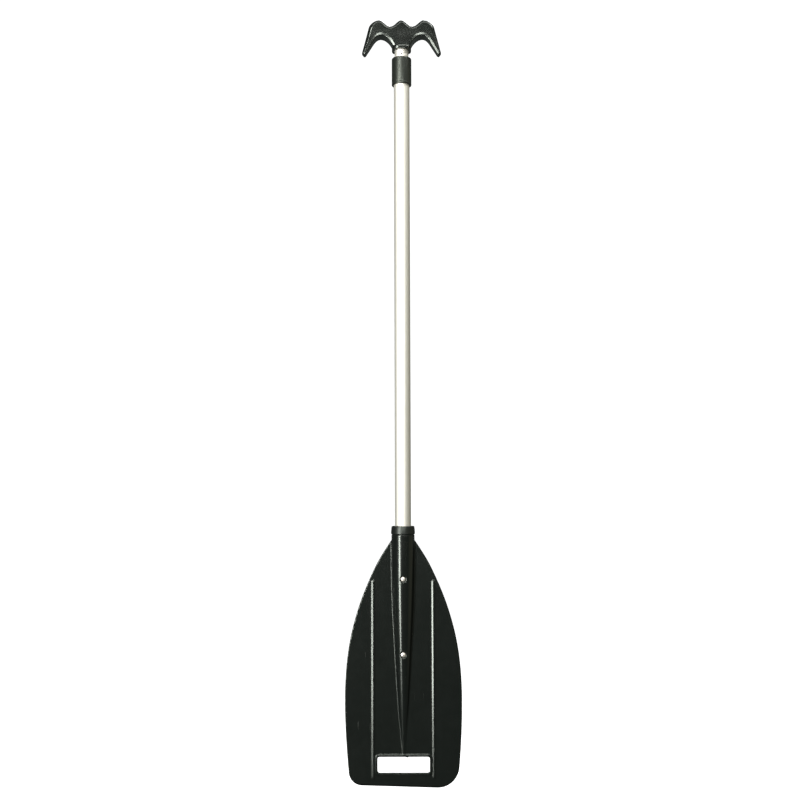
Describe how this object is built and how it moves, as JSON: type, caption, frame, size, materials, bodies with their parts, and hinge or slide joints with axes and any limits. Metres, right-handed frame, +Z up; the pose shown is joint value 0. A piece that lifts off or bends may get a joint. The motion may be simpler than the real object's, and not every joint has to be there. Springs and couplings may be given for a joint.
{
  "type": "telescopic boat paddle",
  "caption": "Telescopic boat paddle with a ribbed black blade, an aluminium shaft that pulls out and twists to lock, and a T-grip that is also a boat hook.",
  "frame": {"origin": "on the shaft's axis, in the middle of the bare shaft, where a clip holds it", "axes": "+Z up the shaft from the blade to the grip, +X across the blade to the right, -Y towards the front, where the rivets are"},
  "size_m": [0.2046, 0.0426, 1.3693],
  "materials": {
    "blade_plastic": "satin",
    "grip_plastic": "satin",
    "sleeve_rubber": "matte",
    "tube_aluminium": "satin",
    "rivet_aluminium": "satin",
    "rivet_steel": "satin",
    "pin_steel": "satin",
    "brass": "satin",
    "nylon": "satin",
    "ring_rubber": "matte",
    "foam": "matte"
  },
  "bodies": {
    "paddle": {"blade": "blade_plastic", "shaft_tube": "tube_aluminium", "guide_sleeve": "sleeve_rubber", "guide_ring": "nylon", "tube_end_plug": "nylon", "shaft_float": "foam", "blade_rivets": "rivet_aluminium", "rivet_mandrels": "rivet_steel"},
    "lock_expander": {"expander_sleeve": "nylon", "drag_ring": "ring_rubber"},
    "hook_handle": {"hook_grip": "grip_plastic", "inner_tube": "tube_aluminium", "grip_pin": "pin_steel", "inner_float": "foam", "lock_plug": "nylon", "lock_plug_pin": "pin_steel", "lock_spindle": "pin_steel", "spindle_washer": "pin_steel", "spindle_nut": "pin_steel"},
    "lock_cone": {"cone_nut": "nylon", "thread_insert": "brass"}
  },
  "joints": [
    {"name": "telescope_slide", "type": "slide", "parent": "paddle", "child": "lock_expander", "axis": [0, 0, 1], "range_m": [-0.0138, 0.762]},
    {"name": "twist_lock", "type": "hinge", "parent": "lock_expander", "child": "hook_handle", "pos_m": [0, 0, 0], "axis": [0, 0, -1], "range_deg": [0, 360]},
    {"name": "cone_travel", "type": "slide", "parent": "lock_expander", "child": "lock_cone", "axis": [0, 0, 1], "range_m": [0, 0.002]}
  ],
  "couplings": [
    {"joint": "cone_travel", "follows": "twist_lock", "m_per_rad": 0.0003183}
  ]
}
